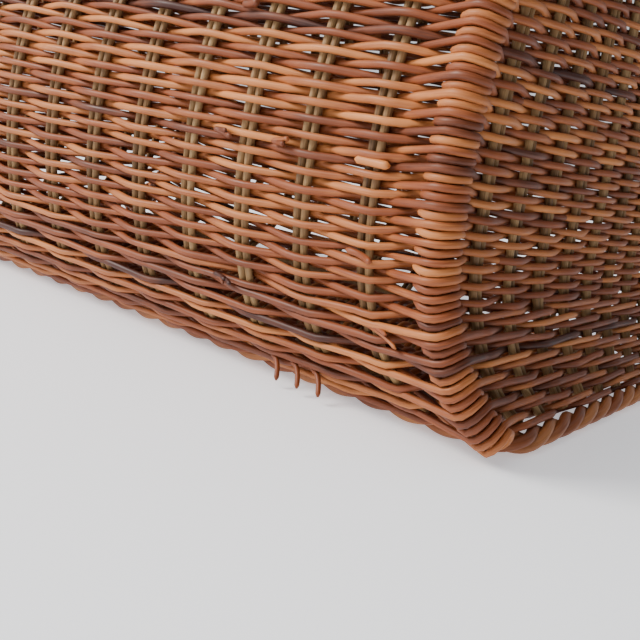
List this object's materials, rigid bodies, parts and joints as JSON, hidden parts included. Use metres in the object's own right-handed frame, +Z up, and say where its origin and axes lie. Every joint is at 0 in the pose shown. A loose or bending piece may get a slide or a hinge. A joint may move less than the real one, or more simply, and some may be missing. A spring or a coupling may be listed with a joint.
{
  "type": "sewing basket",
  "caption": "Rectangular woven willow sewing basket with bellied long walls, ends that flare at the foot, and a hinged lid with a bow handle.",
  "frame": {"origin": "middle of the footprint, on the surface that the basket stands on", "axes": "+Z up, +X along the front towards the right-hand end, front wall towards -Y"},
  "size_m": [0.4204, 0.269, 0.2588],
  "materials": {
    "weavers": "satin, stripped willow gone orange-brown with age",
    "stakes": "matt, ribbed straw-brown rods",
    "posts": "satin, thick brown willow",
    "borders": "satin willow rods, rubbed on top",
    "sticks": "matt straight sticks",
    "twisted_rings": "satin twisted willow",
    "split_binding": "satin split willow skeins",
    "handle_wood": "satin thick willow rod"
  },
  "bodies": {
    "basket": {"back_inner_weave": "weavers", "back_left_corner_post": "posts", "back_left_corner_wrapping": "weavers", "back_outer_weave": "weavers", "back_right_corner_post": "posts", "back_right_corner_wrapping": "weavers", "back_stakes": "stakes", "base_edge_sticks": "sticks", "base_inner_weave": "weavers", "base_sticks": "sticks", "base_under_weave": "weavers", "foot_border": "borders", "front_inner_weave": "weavers", "front_left_corner_post": "posts", "front_left_corner_wrapping": "weavers", "front_outer_weave": "weavers", "front_right_corner_post": "posts", "front_right_corner_wrapping": "weavers", "front_stakes": "stakes", "left_inner_weave": "weavers", "left_outer_weave": "weavers", "left_stakes": "stakes", "right_inner_weave": "weavers", "right_outer_weave": "weavers", "right_stakes": "stakes", "rim_border": "borders"},
    "lid": {"lid_border": "borders", "lid_sticks": "sticks", "lid_top_weave": "weavers", "lid_under_weave": "weavers", "left_hinge_ring": "twisted_rings", "right_hinge_ring": "twisted_rings", "handle_bow": "handle_wood", "handle_binding": "split_binding", "handle_pegs": "handle_wood"}
  },
  "joints": [
    {"name": "lid_hinge", "type": "hinge", "parent": "basket", "child": "lid", "pos_m": [0, 0.10693, 0.18177], "axis": [-1, 0, 0], "range_deg": [0, 100]}
  ]
}
